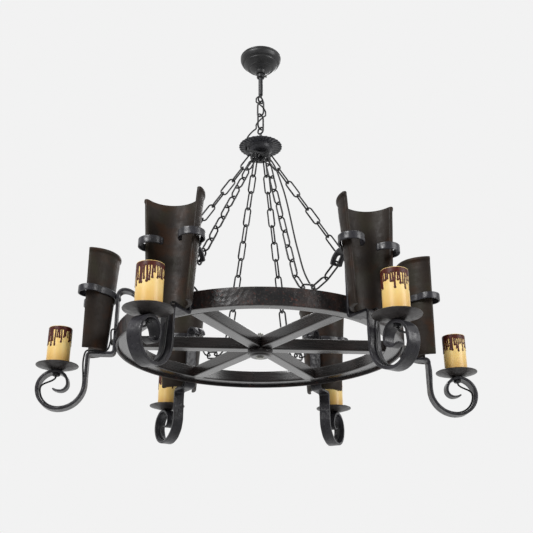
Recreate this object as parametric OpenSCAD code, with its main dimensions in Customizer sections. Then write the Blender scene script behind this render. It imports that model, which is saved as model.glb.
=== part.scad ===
// Six-arm wagon wheel chandelier with half-round clay tile shields and
// drip candle sleeves. Millimetres. +Z is up. The origin is the centre of
// the hanging eye, inside the ceiling canopy: everything hangs below it.
// Arm 1 points along +X, and the others follow counter-clockwise.

/* [Suspension] */
// Height of the ceiling above the centre of the hanging eye
ceiling_rise = 20; // [14:1:30]
// Drop from the hanging eye to the lower edge of the wheel's tyre
wheel_drop = 606; // [560:1:760]
// Radius of the bore in the hanging eye
eye_bore_r = 7; // [5:0.5:9]
// Wall of the ring round the hanging eye
eye_wall = 4; // [3:0.5:6]
// Thickness of the hanging eye along its bore
eye_t = 5; // [4:0.5:8]
// Outer diameter of the stem tube
stem_d = 9; // [8:0.5:12]
// Wall of the stem tube
stem_wall = 1; // [0.8:0.1:1.5]
// Depth of the stem tube's lower end below the hanging eye
stem_end = 69; // [62:1:86]
// Bare neck of the stem hook between the tube and the ring
hook_neck = 4; // [3:0.5:8]
// Wire diameter of the stem hook, the two big links and the disc eye
ring_wire_d = 3.5; // [3:0.25:4]
// Inner radius of the stem hook and of the disc eye
ring_inner_r = 5; // [4.5:0.25:7]
// Outer width of a big link
big_link_w = 19; // [17:0.5:24]
// Outer length of a big link
big_link_l = 38; // [34:1:46]

/* [Canopy] */
// Outer radius of the canopy's rim
canopy_r = 41; // [36:1:60]
// Depth of the canopy bowl
canopy_h = 40; // [32:1:48]
// Wall of the canopy
canopy_wall = 1.2; // [0.8:0.1:2]
// Outer radius of the collar under the canopy
collar_r = 8; // [7.2:0.2:11]
// Height of the collar
collar_h = 9; // [7:0.5:12]

/* [Top disc] */
// Outer radius of the fluted disc
disc_r = 42; // [36:1:52]
// Depth of the disc's rim below the hanging eye
disc_drop = 190; // [186:1:196]
// Radius of the smooth boss under the disc
disc_boss_r = 23; // [19:0.5:28]
// Depth of the boss below the disc's rim
disc_boss_h = 14; // [10:0.5:18]
// Number of flutes round the disc's rim
flute_count = 30; // [18:1:40]
// Outer radius of the plate that holds the six chains
plate_r = 20; // [20:0.5:24]
// Thickness of the chain plate
plate_t = 2.5; // [2:0.25:3]
// Gap between the disc's boss and the chain plate
plate_gap = 8; // [7.5:0.5:12]

/* [Chains] */
// Wire diameter of a chain link
chain_wire_d = 3; // [2.5:0.25:3.25]
// Outer width of a chain link
chain_link_w = 15; // [14:0.5:18]
// Number of links in a tight chain, an odd number
tight_links = 11; // [9:2:15]
// Links that the slack chain of arm 6 has more than a tight one
slack_extra = 2; // [2:2:4]
// Links that the slack chains of arms 2 and 3 have more than a tight one
far_slack_extra = 4; // [2:2:4]
// Tightest radius that the bottom of a slack chain hangs in
sag_r = 56; // [54:1:70]

/* [Wheel] */
// Outer radius of the iron tyre
tyre_r = 250; // [230:1:270]
// Thickness of the tyre
tyre_t = 4; // [3:0.5:6]
// Height of the tyre
tyre_h = 29; // [26:1:36]
// Radial width of the felloe ring
felloe_w = 27; // [22:1:34]
// Height of the felloe ring
felloe_h = 22; // [18:1:24]
// Height of the felloe's underside above the tyre's lower edge
tyre_lip = 4.5; // [2:0.5:6]
// Width of a spoke
spoke_w = 22; // [16:1:26]
// Height of a spoke
spoke_h = 20; // [14:1:22]
// Radius of the boss under the hub
hub_r = 22; // [18:1:30]
// Depth of the boss under the hub
hub_h = 12; // [8:1:18]

/* [Arms] */
// Width of the flat bar that an arm is bent from
bar_w = 22; // [18:1:26]
// Thickness of the flat bar
bar_t = 5; // [4:0.5:6]
// Height where the upright bar starts to bend inwards as a hook
hook_start_z = 99; // [94:1:110]
// Reach of the bracket, from the tyre's face to the middle of the drop
bracket_reach = 47; // [40:1:54]
// Length of the straight drop below the bracket
drop_l = 47; // [38:1:60]
// Radius of the scroll's first, widest quarter
scroll_r1 = 44; // [40:1:50]
// Radius of the scroll's second quarter
scroll_r2 = 35; // [32:1:40]
// Radius of the scroll's third quarter, up to the drip pan
scroll_r3 = 29; // [26:1:32]
// Radius of the scroll's fourth quarter, down from the drip pan
scroll_r4 = 21; // [18:1:24]
// Radius of the scroll's inner curl
scroll_r5 = 12; // [9:1:14]

/* [Tiles] */
// Outer radius of a tile at its foot
tile_foot_r = 37.5; // [34:0.5:39]
// Outer radius of a tile at its top
tile_top_r = 50; // [46:0.5:52]
// Height of a tile
tile_h = 177; // [150:1:200]
// Wall of a tile
tile_wall = 6.5; // [4:0.5:8]
// Width of the strap that clasps a tile
strap_w = 12; // [10:0.5:14]
// Thickness of the strap
strap_t = 2.5; // [2:0.25:3.5]
// Clear gap between the strap and the tile's back
strap_gap = 0.4; // [0.2:0.1:0.8]
// Height of the strap's middle above the tyre's lower edge
strap_z = 97; // [90:1:100]
// Radius of the strap's curled ends
strap_curl_r = 19; // [15:0.5:19]

/* [Lamps] */
// Outer radius of a drip pan
pan_r = 36; // [30:1:42]
// Depth of a drip pan
pan_depth = 8; // [5:0.5:12]
// Sheet thickness of a drip pan
pan_t = 1.5; // [1:0.25:2]
// Outer radius of a candle sleeve
sleeve_r = 20; // [19:0.5:22]
// Wall of a candle sleeve
sleeve_wall = 1.8; // [1.2:0.1:2.4]
// Height of a candle sleeve
sleeve_h = 69; // [60:1:90]
// Radius of the bulb socket in a lampholder
socket_r = 13.5; // [13:0.1:14]
// Depth of the bulb socket
socket_depth = 30; // [22:1:34]

/* [Hidden] */
$fn = 48;
arm_count = 6;
arm_step = 360 / arm_count;

// Clearances
link_gap = 0.3;         // between big links that swing on each other
chain_gap = 0.5;        // between two links of a chain
slide_gap = 0.3;        // canopy on stem, sleeve over lampholder and pan
bolt_gap = 0.1;         // bolt in its hole
thread_gap = 0.02;      // screw in its thread
joint_line = 0.15;      // half the seam between two spokes
past = 1;               // how far a cutter runs past the face it opens

// Colours
iron = "#34343a";
rusty_iron = "#3b3330";
black_wood = "#26221f";
clay = "#3a302a";
wax = "#e9c983";
black = "#1b1b1b";
zinc = "#9a9a96";

// Derived sizes: stem and links
ring_wire_r = ring_wire_d / 2;
ring_r = ring_inner_r + ring_wire_r;
eye_outer_r = eye_bore_r + eye_wall;
hook_z = -stem_end - hook_neck - ring_r - ring_wire_r;
hook_wire_z = hook_z - ring_r;
upper_link_top = hook_wire_z + ring_wire_r + link_gap + ring_wire_d;
upper_link_z = upper_link_top - big_link_l / 2;
link_pitch = big_link_l - 2 * ring_wire_d - link_gap;
lower_link_z = upper_link_z - link_pitch;
disc_eye_z = lower_link_z - big_link_l / 2 + ring_wire_d + ring_wire_d
           + link_gap - ring_wire_r - ring_r;
hook_turn = 45;         // the hook's plane, seen from above
bore_r = stem_d / 2 - stem_wall;
eye_plug_l = 8;         // part of the hanging eye inside the tube
eye_flange = 1;         // how far its flange stands out over the tube
eye_flange_h = 4;
stem_top = -eye_outer_r - eye_flange_h / 2;
hook_shank_l = 16;      // part of the hook's shank inside the tube
plug_h = 5;

// Derived sizes: disc and chain plate
boss_z = -disc_drop - disc_boss_h;
plate_z = boss_z - plate_gap - plate_t / 2;
shank_r = 2.5;
plate_hole_r = 4;
plate_hole_at = 11.5;
disc_nut_h = 5.5;
disc_nut_r = 6.5;
thread_end = 3;         // thread that shows below a nut
flute_r = 2;            // scallop in the disc's edge
flute_deep = 1.1;
groove_r = 1.5;         // groove that runs in from a scallop
cable_hole_at = -28;

// Derived sizes: wheel
felloe_out = tyre_r - tyre_t;
felloe_in = felloe_out - felloe_w;
drop_r = tyre_r + bracket_reach;
spoke_gap = 1;          // spoke's end to the felloe
hub_bolt_r = 4;
hub_head_h = 2.5;
hub_washer_r = 13;
hub_washer_h = 2;
hub_nut_r = 8;
hub_nut_h = 6.5;

// Derived sizes: arm, in the arm's own plane (distance, height)
bar_mid_r = tyre_r + bar_t / 2;
bend_r = 6;
bracket_gap = 1;        // tyre's lower edge to the bend's start
bracket_z = -bend_r - bracket_gap;
hook_r1 = 26;           // bend down to the hook's tip
hook_a1 = 75;
hook_r2 = 11;           // tight bend over the upright
hook_a2 = 90;
tip_heading = hook_a1 + hook_a2 - 90;
tip = [
  bar_mid_r - hook_r1 * (sin(tip_heading) + sin(hook_a1 - tip_heading))
    - hook_r2 * (1 - cos(hook_a2)),
  hook_start_z + hook_r2 * sin(hook_a2)
    - hook_r1 * (cos(hook_a1 - tip_heading) - cos(tip_heading))
];
tip_web = 4;            // metal between the slot and the tip
slot_w = 8;
slot_l = 15;
curl_end_r = 22;
curl_end_a = 35;
drop_end_z = bracket_z - bend_r - drop_l;
scroll_low = drop_end_z - scroll_r1;
scroll_top = scroll_low + scroll_r2 + scroll_r3;
lamp_at = drop_r + scroll_r1 + scroll_r2 - scroll_r3;
bolt_z = 15;
arm_bolt_r = 3;
arm_bolt_l = 26;
arm_head_r = 6;
arm_head_h = 4;

// Derived sizes: tile and strap
foot_z = bracket_z + bar_t / 2;
bar_face_r = tyre_r + bar_t;
tile_bead = 1.5;        // how far the bead round a tile's top stands out
tile_bead_h = 7;
strap_top_r = tile_foot_r + (tile_top_r - tile_foot_r)
            * (strap_z + strap_w / 2 - foot_z) / tile_h;
strap_in = strap_top_r + strap_gap;
strap_mid = strap_in + strap_t / 2;
tile_axis_r = bar_face_r + strap_t + strap_in;
rivet_r = 2.5;
rivet_head_r = 4.5;
rivet_head_h = 2.5;
rivet_z = min(strap_z, hook_start_z - rivet_head_r - rivet_r / 5);

// Derived sizes: lamp
pan_z = scroll_top + bar_t / 2;
pan_flat_r = 6;
pan_slope = pan_depth / (pan_r - pan_flat_r);
sleeve_z = pan_z + pan_t + (sleeve_r - pan_flat_r) * pan_slope + slide_gap;
nipple_r = 5;
nipple_wall = 1.6;
nipple_end = 0.5;       // thread that shows below the nut
holder_r = 16.4;
holder_base_r = 10;
holder_base_h = 8;
holder_z = pan_z + pan_t + (holder_base_r - pan_flat_r) * pan_slope;
holder_sunk = 2;        // holder's rim below the sleeve's
holder_top = sleeve_z + sleeve_h - holder_sunk;
nut_r = 6.5;
nut_h = 3;
nut_drop = 1.2;
lamp_nut_z = scroll_top - bar_t / 2 - nut_drop - nut_h;

// ---------------------------------------------------------------- tools

module at_wheel() translate([0, 0, -wheel_drop]) children();
module at_arm(n) at_wheel() rotate([0, 0, (n - 1) * arm_step]) children();
module each_arm() for (n = [1:arm_count]) at_arm(n) children();

// Turns a flat drawing (distance, height) upright into the arm's plane.
module upright() rotate([90, 0, 0]) children();

// A path is a list of [length, 0] for a straight and [radius, turn] for
// a bend, where a positive turn goes left. A state is [x, y, heading].
function bend_to(s, r, a) =
  let (k = sign(a), h = s[2])
  [s[0] + k * r * (sin(h + a) - sin(h)),
   s[1] - k * r * (cos(h + a) - cos(h)), h + a];
function step_to(s, seg) = seg[1] == 0
  ? [s[0] + seg[0] * cos(s[2]), s[1] + seg[0] * sin(s[2]), s[2]]
  : bend_to(s, seg[0], seg[1]);

// The states along a path: both ends of a straight, and many in a bend.
function run(s, path, n = 0) = n == len(path) ? [s] : let (seg = path[n])
  concat([s],
    seg[1] == 0 ? [] : let (steps = ceil(abs(seg[1]) / 7.5))
      [for (k = [1:steps - 1]) bend_to(s, seg[0], seg[1] * k / steps)],
    run(step_to(s, seg), path, n + 1));
function beside(s, d) = [s[0] - d * sin(s[2]), s[1] + d * cos(s[2])];
function reversed(list) = [for (n = [len(list) - 1:-1:0]) list[n]];

// A flat strip of thickness t and width w along a list of states.
module strip(states, t, w) {
  linear_extrude(w, center = true) polygon(concat(
    [for (s = states) beside(s, t / 2)],
    [for (s = reversed(states)) beside(s, -t / 2)]));
}

// An oval link standing upright in the XZ plane, centred on the origin.
module link(l, w, d) {
  half = (l - w) / 2;
  mid = (w - d) / 2;
  for (k = [0, 1]) rotate([0, 180 * k, 0]) translate([0, 0, half])
    rotate([90, 0, 0]) rotate_extrude(angle = 180)
      translate([mid, 0]) circle(d = d, $fn = 24);
  for (k = [-1, 1]) translate([k * mid, 0, -half])
    cylinder(h = 2 * half, d = d, $fn = 24);
}

// A wire ring in the XZ plane.
module wire_ring() {
  rotate([90, 0, 0]) rotate_extrude() translate([ring_r, 0])
    circle(r = ring_wire_r, $fn = 24);
}

// A hexagonal bolt head or nut.
module hex(r, h) cylinder(r = r, h = h, $fn = 6);

// A round cord through a list of points, with eight sides. Each ring
// stands square to the mean direction of the runs that meet in it.
function unit(v) = v / norm(v);
function heading(p, n) = unit(
  (n < len(p) - 1 ? unit(p[n + 1] - p[n]) : [0, 0, 0])
  + (n > 0 ? unit(p[n] - p[n - 1]) : [0, 0, 0]));
function side(d) = abs(d[2]) > 0.8 ? unit(cross(d, [0, 1, 0]))
  : unit(cross(d, [0, 0, 1]));
function carry(p, n) = n == 0 ? side(heading(p, 0))
  : let (last = carry(p, n - 1), d = heading(p, n))
    unit(last - d * (last * d));
module cord(p, d) {
  sides = 8;
  rings = [for (n = [0:len(p) - 1])
    let (u = carry(p, n), v = cross(heading(p, n), u))
    for (k = [0:sides - 1])
      p[n] + (u * cos(k * 360 / sides) + v * sin(k * 360 / sides)) * d / 2];
  last = (len(p) - 1) * sides;
  walls = [for (n = [0:len(p) - 2]) for (k = [0:sides - 1])
    let (a = n * sides + k, b = n * sides + (k + 1) % sides)
    for (f = [[a, a + sides, b], [b, a + sides, b + sides]]) f];
  caps = [for (k = [1:sides - 2])
    for (f = [[0, k, k + 1], [last, last + k + 1, last + k]]) f];
  polyhedron(points = rings, faces = concat(walls, caps));
}

// ----------------------------------------------------------- suspension

module ceiling_eye() {
  color(iron) difference() {
    union() {
      rotate([90, 0, 0]) cylinder(r = eye_outer_r, h = eye_t, center = true);
      translate([0, 0, stem_top - eye_plug_l])
        cylinder(r = bore_r, h = eye_plug_l + eye_flange_h);
      translate([0, 0, stem_top])
        cylinder(d = stem_d + 2 * eye_flange, h = eye_flange_h);
    }
    rotate([90, 0, 0])
      cylinder(r = eye_bore_r, h = eye_t + 2 * past, center = true);
  }
}

module stem_tube() {
  color(iron) translate([0, 0, -stem_end]) difference() {
    cylinder(d = stem_d, h = stem_end + stem_top);
    translate([0, 0, -past])
      cylinder(r = bore_r, h = stem_end + stem_top + 2 * past);
  }
}

// The hook's shank and the cable stand side by side in the tube's mouth,
// and the hook's end plug has a notch that the cable leaves through.
module stem_hook() {
  color(iron) difference() {
    union() {
      rotate([0, 0, hook_turn]) translate([0, 0, hook_z]) {
        wire_ring();
        translate([bore_r - ring_wire_r, 0, ring_r - ring_wire_r / 3])
          cylinder(r = ring_wire_r, h = hook_neck + hook_shank_l);
      }
      translate([0, 0, -stem_end]) cylinder(r = bore_r, h = plug_h);
    }
    translate([supply_top[0][0], supply_top[0][1], -stem_end - past])
      cylinder(d = cable_d + 2 * bolt_gap, h = plug_h + 2 * past);
  }
}

module upper_link() {
  color(iron) translate([0, 0, upper_link_z])
    rotate([0, 0, hook_turn + 90]) link(big_link_l, big_link_w, ring_wire_d);
}

module lower_link() {
  color(iron) translate([0, 0, lower_link_z])
    rotate([0, 0, hook_turn]) link(big_link_l, big_link_w, ring_wire_d);
}

// --------------------------------------------------------------- canopy

// The bowl's wall from the rim down: a short straight skirt, a bowl that
// tapers, and a low nose round the stem.
canopy_skirt_h = 6;
canopy_nose_h = 4;
canopy_nose_w = 4;
canopy_hole_r = stem_d / 2 + slide_gap;
canopy_nose_r = canopy_hole_r + canopy_nose_w;
canopy_taper = 1.4;     // 1 is an ellipse, 2 a straight cone
canopy_curve = [for (a = [0:10:80])
  [canopy_nose_r + (canopy_r - canopy_nose_r) * pow(cos(a), canopy_taper),
   ceiling_rise - canopy_skirt_h
     - (canopy_h - canopy_skirt_h - canopy_nose_h)
       * pow(sin(a), canopy_taper)]];
module canopy() {
  outer = concat(
    [[canopy_r, ceiling_rise]], canopy_curve,
    [[canopy_nose_r, ceiling_rise - canopy_h],
     [canopy_hole_r, ceiling_rise - canopy_h]]);
  inner = concat(
    [[canopy_hole_r, ceiling_rise - canopy_h + 2 * canopy_wall]],
    [for (n = [len(canopy_curve) - 1:-1:0])
      canopy_curve[n] + canopy_wall * [-1, 0.8]],
    [[canopy_r - canopy_wall, ceiling_rise]]);
  color(iron) rotate_extrude($fn = 72) polygon(concat(outer, inner));
}

collar_z = ceiling_rise - canopy_h - collar_h;
screw_r = 1.5;
screw_l = collar_r - stem_d / 2 + screw_r;
screw_head_r = 2.6;
screw_head_h = 2.4;
module canopy_collar() {
  color(iron) translate([0, 0, collar_z]) difference() {
    cylinder(r = collar_r, h = collar_h);
    translate([0, 0, -past])
      cylinder(r = canopy_hole_r, h = collar_h + 2 * past);
    translate([0, 0, collar_h / 2]) rotate([0, 90, 0])
      cylinder(r = screw_r, h = collar_r + past);
  }
}

module canopy_set_screw() {
  color(zinc) translate([stem_d / 2 + slide_gap, 0, collar_z + collar_h / 2])
    rotate([0, 90, 0]) union() {
      cylinder(r = screw_r - thread_gap, h = screw_l);
      translate([0, 0, screw_l])
        cylinder(r = screw_head_r, h = screw_head_h);
    }
}

// ------------------------------------------------- top disc and plate

module disc_eye() {
  shank_z = plate_z - plate_t / 2 - disc_nut_h - thread_end;
  color(iron) {
    rotate([0, 0, hook_turn + 90]) translate([0, 0, disc_eye_z])
      wire_ring();
    translate([0, 0, shank_z]) cylinder(r = shank_r,
      h = disc_eye_z - ring_r - ring_wire_r / 2 - shank_z);
  }
}

module top_disc() {
  z = -disc_drop;
  profile = [
    [shank_r + bolt_gap, z + 10], [10, z + 9.5], [disc_boss_r, z + 6],
    [disc_r - 2, z + 2.5], [disc_r, z + 1], [disc_r, z],
    [disc_r - 1, z - 1.5], [disc_boss_r + 1.5, z - 0.5],
    [disc_boss_r, z - 3],
    [disc_boss_r * 0.93, z - disc_boss_h * 0.5],
    [disc_boss_r * 0.78, z - disc_boss_h * 0.78],
    [disc_boss_r * 0.55, z - disc_boss_h * 0.94],
    [disc_boss_r * 0.3, boss_z], [shank_r + bolt_gap, boss_z]];
  color(iron) difference() {
    rotate_extrude($fn = 72) polygon(profile);
    for (k = [0:flute_count - 1]) rotate([0, 0, k * 360 / flute_count]) {
      translate([disc_r + flute_r - flute_deep, 0, z - disc_boss_h])
        cylinder(r = flute_r, h = 2 * disc_boss_h, $fn = 16);
      translate([disc_boss_r + 2 * groove_r, 0, z - 1.6 * groove_r])
        rotate([0, 87, 0]) cylinder(r = groove_r, h = disc_r, $fn = 16);
    }
    translate([cable_hole_at, 0, z - disc_boss_h])
      cylinder(d = cable_d + 6 * slide_gap, h = 3 * disc_boss_h);
  }
}

module disc_nuts() {
  hole = shank_r + bolt_gap;
  color(iron) difference() {
    union() {
      translate([0, 0, plate_z + plate_t / 2])
        cylinder(r = disc_nut_r, h = plate_gap);
      translate([0, 0, plate_z - plate_t / 2 - disc_nut_h])
        hex(disc_nut_r, disc_nut_h);
    }
    translate([0, 0, plate_z - plate_t - disc_nut_h])
      cylinder(r = hole, h = 2 * plate_t + disc_nut_h + plate_gap);
  }
}

module chain_plate() {
  color(iron) translate([0, 0, plate_z]) difference() {
    cylinder(r = plate_r, h = plate_t, center = true);
    cylinder(r = shank_r + bolt_gap, h = 2 * plate_t, center = true);
    for (k = [0:arm_count - 1]) rotate([0, 0, k * arm_step])
      translate([plate_hole_at, 0, 0])
        cylinder(r = plate_hole_r, h = 2 * plate_t, center = true);
  }
}

// --------------------------------------------------------------- chains

// In the arm's plane: a chain runs from the rim of the chain plate to
// the slotted tip of the arm's hook. A joint is the place where two
// links touch, and the end joints lie just behind the metal they hold.
chain_top = [(plate_hole_at + plate_hole_r + plate_r) / 2,
             plate_z + wheel_drop];
chain_foot = tip + tip_web / 2 * [cos(tip_heading), sin(tip_heading)];
seat_play = 1;
seat = chain_link_w / 2 - chain_wire_d - seat_play;
tight_dir = unit(chain_foot - chain_top);
tight_a = chain_top - seat * tight_dir;
tight_b = chain_foot + seat * tight_dir;
chain_pitch = norm(tight_b - tight_a) / tight_links;
chain_link_l = chain_pitch + chain_gap + 2 * chain_wire_d;

// A slack chain hangs straight down, round a bottom arc and up to its
// hook. The height of the arc's centre is found by halving, so that the
// line is exactly as long as its links, and so is each joint on it.
slack_start = [0.2, -0.98];
slack_a = chain_top - seat * slack_start;
function angle_to(a, b) = atan2(b[1] - a[1], b[0] - a[0]);
function at_heading(h) = [cos(h), sin(h)];
// A hanging line with its arc about c, up to b: [c, heading down,
// heading up, length down, length up, b]
function line(c, b) = let (da = norm(c - slack_a), db = norm(b - c))
  [c, angle_to(slack_a, c) - asin(sag_r / da),
   angle_to(c, b) + asin(sag_r / db),
   sqrt(da * da - sag_r * sag_r), sqrt(db * db - sag_r * sag_r), b];
function arc_length(g) = sag_r * (g[2] - g[1]) * PI / 180;
function line_length(g) = g[3] + arc_length(g) + g[4];
function on_line(g, s) = s < g[3] ? slack_a + s * at_heading(g[1])
  : s < g[3] + arc_length(g)
    ? let (h = g[1] + (s - g[3]) / sag_r * 180 / PI)
      g[0] + sag_r * [sin(h), -cos(h)]
    : g[5] + (s - line_length(g)) * at_heading(g[2]);
function next_on(g, s0, lo, hi, n) = let (mid = (lo + hi) / 2)
  n == 0 ? mid
  : norm(on_line(g, mid) - on_line(g, s0)) < chain_pitch
    ? next_on(g, s0, mid, hi, n - 1) : next_on(g, s0, lo, mid, n - 1);
// Lengths along the line at which the joints lie
function marks(g, links, so_far = [0]) =
  len(so_far) > links ? so_far
  : let (s0 = so_far[len(so_far) - 1],
      s1 = next_on(g, s0, s0, s0 + 1.2 * chain_pitch, 18))
    marks(g, links, concat(so_far, [s1]));
function hang(links, back, b, lo, hi, n) = let (mid = (lo + hi) / 2,
    g = line([chain_foot[0] - back, mid], b))
  n == 0 ? g
  : marks(g, links)[links] > line_length(g)
    ? hang(links, back, b, lo, mid, n - 1)
    : hang(links, back, b, mid, hi, n - 1);
// back is how far the arc's centre lies behind the hook, and rise is the
// angle at which the last link climbs to it.
function slack_joints(links, back, rise) =
  let (g = hang(links, back, chain_foot + seat * at_heading(rise),
    sag_r, chain_foot[1] + sag_r, 16))
  [for (s = marks(g, links)) on_line(g, s)];
tight_joints = [for (n = [0:tight_links])
  tight_a + (tight_b - tight_a) * n / tight_links];
far_back = 62;
far_rise = 66;
near_back = 56;
near_rise = 31;
far_joints = slack_joints(tight_links + far_slack_extra, far_back, far_rise);
near_joints = slack_joints(tight_links + slack_extra, near_back, near_rise);

// The joints of the six chains, counted from arm 1
chain_joints = [tight_joints, far_joints, far_joints,
                tight_joints, tight_joints, near_joints];

module chain(n) {
  joints = chain_joints[n - 1];
  color(iron) at_arm(n) for (k = [1:len(joints) - 1]) {
    mid = (joints[k - 1] + joints[k]) / 2;
    translate([mid[0], 0, mid[1]])
      rotate([0, 90 - angle_to(joints[k - 1], joints[k]), 0])
        rotate([0, 0, k % 2 == 1 ? 0 : 90])
          link(chain_link_l, chain_link_w, chain_wire_d);
  }
}

// ---------------------------------------------------------------- wheel

module arm_bolt_hole() {
  translate([bar_face_r - arm_bolt_l, 0, bolt_z]) rotate([0, 90, 0])
    cylinder(r = arm_bolt_r + bolt_gap, h = arm_bolt_l + past);
}

module tyre() {
  color(rusty_iron) difference() {
    at_wheel() rotate_extrude($fn = 180) translate([felloe_out, 0])
      square([tyre_t, tyre_h]);
    each_arm() arm_bolt_hole();
  }
}

module felloe() {
  color(black_wood) difference() {
    at_wheel() rotate_extrude($fn = 180) translate([felloe_in, tyre_lip])
      square([felloe_w, felloe_h]);
    each_arm() arm_bolt_hole();
  }
}

module spokes() {
  half = spoke_w / 2;
  point = joint_line / sin(arm_step / 2);
  shoulder = point + half / tan(arm_step / 2);
  color(black_wood) difference() {
    each_arm() translate([0, 0, tyre_lip]) linear_extrude(spoke_h)
      polygon([[point, 0], [shoulder, -half], [felloe_in - spoke_gap, -half],
        [felloe_in - spoke_gap, half], [shoulder, half]]);
    at_wheel() cylinder(r = hub_bolt_r + bolt_gap, h = 3 * spoke_h);
  }
}

module hub_boss() {
  color(black_wood) at_wheel() translate([0, 0, tyre_lip - hub_h])
    rotate_extrude() polygon([
      [hub_bolt_r + bolt_gap, 0], [hub_r - hub_h / 3, 0], [hub_r, hub_h / 3],
      [hub_r, hub_h], [hub_bolt_r + bolt_gap, hub_h]]);
}

module hub_bolt() {
  top = tyre_lip + spoke_h;
  head_z = tyre_lip - hub_h - hub_head_h;
  nut_z = top + hub_washer_h;
  at_wheel() union() {
    translate([0, 0, head_z])
      cylinder(r1 = 0.8 * hub_nut_r, r2 = hub_nut_r, h = hub_head_h);
    translate([0, 0, head_z + hub_head_h / 2])
      cylinder(r = hub_bolt_r, h = nut_z + hub_nut_h + thread_end - head_z
        - hub_head_h / 2);
    translate([0, 0, top]) cylinder(r = hub_washer_r, h = hub_washer_h);
    translate([0, 0, nut_z]) hex(hub_nut_r, hub_nut_h);
  }
}

module arm_bolt() {
  translate([bar_face_r, 0, bolt_z]) rotate([0, 90, 0]) union() {
    hex(arm_head_r, arm_head_h);
    translate([0, 0, -arm_bolt_l])
      cylinder(r = arm_bolt_r, h = arm_bolt_l + arm_head_h / 2);
  }
}

module wheel_bolts() {
  color(zinc) {
    hub_bolt();
    each_arm() arm_bolt();
  }
}

// ----------------------------------------------------------------- arms

arm_path = [
  [hook_r1, -hook_a1], [hook_r2, -hook_a2],
  [hook_start_z - bracket_z - bend_r, 0], [bend_r, 90],
  [drop_r - bar_mid_r - 2 * bend_r, 0], [bend_r, -90],
  [drop_l, 0], [scroll_r1, 90], [scroll_r2, 90], [scroll_r3, 90],
  [scroll_r4, 90], [scroll_r5, 90], [curl_end_r, curl_end_a]
];

module tip_slot() {
  middle = (tip_web + slot_l / 2) / hook_r1 * 180 / PI;
  s = bend_to([tip[0], tip[1], tip_heading], hook_r1, -middle);
  at = (slot_l - slot_w) / 2;
  translate([s[0], 0, s[1]]) rotate([0, -s[2], 0]) {
    for (x = [-at, at]) translate([x, 0, 0])
      cylinder(d = slot_w, h = 3 * bar_t, center = true);
    cube([slot_l - slot_w, slot_w, 3 * bar_t], center = true);
  }
}

module arm(n) {
  color(iron) at_arm(n) difference() {
    upright() strip(run([tip[0], tip[1], tip_heading], arm_path), bar_t,
      bar_w);
    tip_slot();
    arm_bolt_hole();
    translate([tyre_r - past, 0, rivet_z]) rotate([0, 90, 0])
      cylinder(r = rivet_r + bolt_gap, h = bar_t + 2 * past);
    translate([lamp_at, 0, scroll_top - bar_t])
      cylinder(r = nipple_r + bolt_gap, h = 2 * bar_t);
  }
}

// ------------------------------------------------------ tiles and straps

// The lamp's cable passes under the tile's foot through a notch.
module tile(n) {
  color(clay) at_arm(n) difference() {
    translate([tile_axis_r, 0, foot_z]) rotate([0, 0, 90])
      rotate_extrude(angle = 180, $fn = 96) polygon([
        [tile_foot_r - tile_wall, 0], [tile_foot_r, 0],
        [tile_top_r - tile_bead / 3, tile_h - tile_bead_h],
        [tile_top_r + tile_bead, tile_h - 0.6 * tile_bead_h],
        [tile_top_r + tile_bead, tile_h - tile_bead],
        [tile_top_r, tile_h], [tile_top_r - tile_wall + tile_bead, tile_h],
        [tile_top_r - tile_wall, tile_h - tile_bead]]);
    translate([bar_face_r, lead_y - cable_d, foot_z - past])
      cube([tile_foot_r, 2 * cable_d, 1.5 * cable_d + past]);
  }
}

// Seen from above: round the tile's back, out, and round its free edge.
hug_a = 55;
flare_r = 12;
flare_a = 30;
curl_a = 250;
strap_half = run([tile_axis_r - strap_mid, 0, 90],
  [[strap_mid, -hug_a], [flare_r, flare_a], [strap_curl_r, -curl_a]]);
function mirrored(s) = [s[0], -s[1], 180 - s[2]];
module tile_strap(n) {
  other_half = [for (n = [len(strap_half) - 1:-1:1])
    mirrored(strap_half[n])];
  color(iron) at_arm(n) difference() {
    translate([0, 0, strap_z])
      strip(concat(other_half, strap_half), strap_t, strap_w);
    translate([bar_face_r - past, 0, rivet_z]) rotate([0, 90, 0])
      cylinder(r = rivet_r + bolt_gap, h = strap_t + 2 * past);
  }
}

module strap_rivets() {
  color(iron) each_arm() translate([tyre_r - rivet_head_h, 0, rivet_z])
    rotate([0, 90, 0]) union() {
      cylinder(r1 = rivet_head_r / 1.5, r2 = rivet_head_r, h = rivet_head_h);
      translate([0, 0, rivet_head_h / 2]) cylinder(r = rivet_r,
        h = rivet_head_h / 2 + bar_t + strap_t - bolt_gap);
    }
}

// ---------------------------------------------------------------- lamps

module at_lamp(n) at_arm(n) translate([lamp_at, 0, 0]) children();

module drip_pan(n) {
  hole = nipple_r + bolt_gap;
  color(iron) at_lamp(n) rotate_extrude($fn = 72) polygon([
    [hole, pan_z], [pan_flat_r, pan_z], [pan_r, pan_z + pan_depth],
    [pan_r, pan_z + pan_depth + pan_t],
    [pan_flat_r, pan_z + pan_t], [hole, pan_z + pan_t]]);
}

module candle_sleeve(n) {
  color(wax) at_lamp(n) translate([0, 0, sleeve_z]) difference() {
    cylinder(r = sleeve_r, h = sleeve_h, $fn = 72);
    translate([0, 0, -past]) cylinder(r = sleeve_r - sleeve_wall,
      h = sleeve_h + 2 * past, $fn = 72);
  }
}

module lampholders() {
  color(black) for (n = [1:arm_count]) at_lamp(n) difference() {
    union() {
      translate([0, 0, holder_z])
        cylinder(r = holder_base_r, h = holder_base_h + past);
      translate([0, 0, holder_z + holder_base_h])
        cylinder(r = holder_r, h = holder_top - holder_z - holder_base_h);
    }
    translate([0, 0, holder_top - socket_depth])
      cylinder(r = socket_r, h = socket_depth + past);
    translate([0, 0, holder_z - past])
      cylinder(r = nipple_r + bolt_gap, h = holder_base_h + 3 * past);
  }
}

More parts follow.
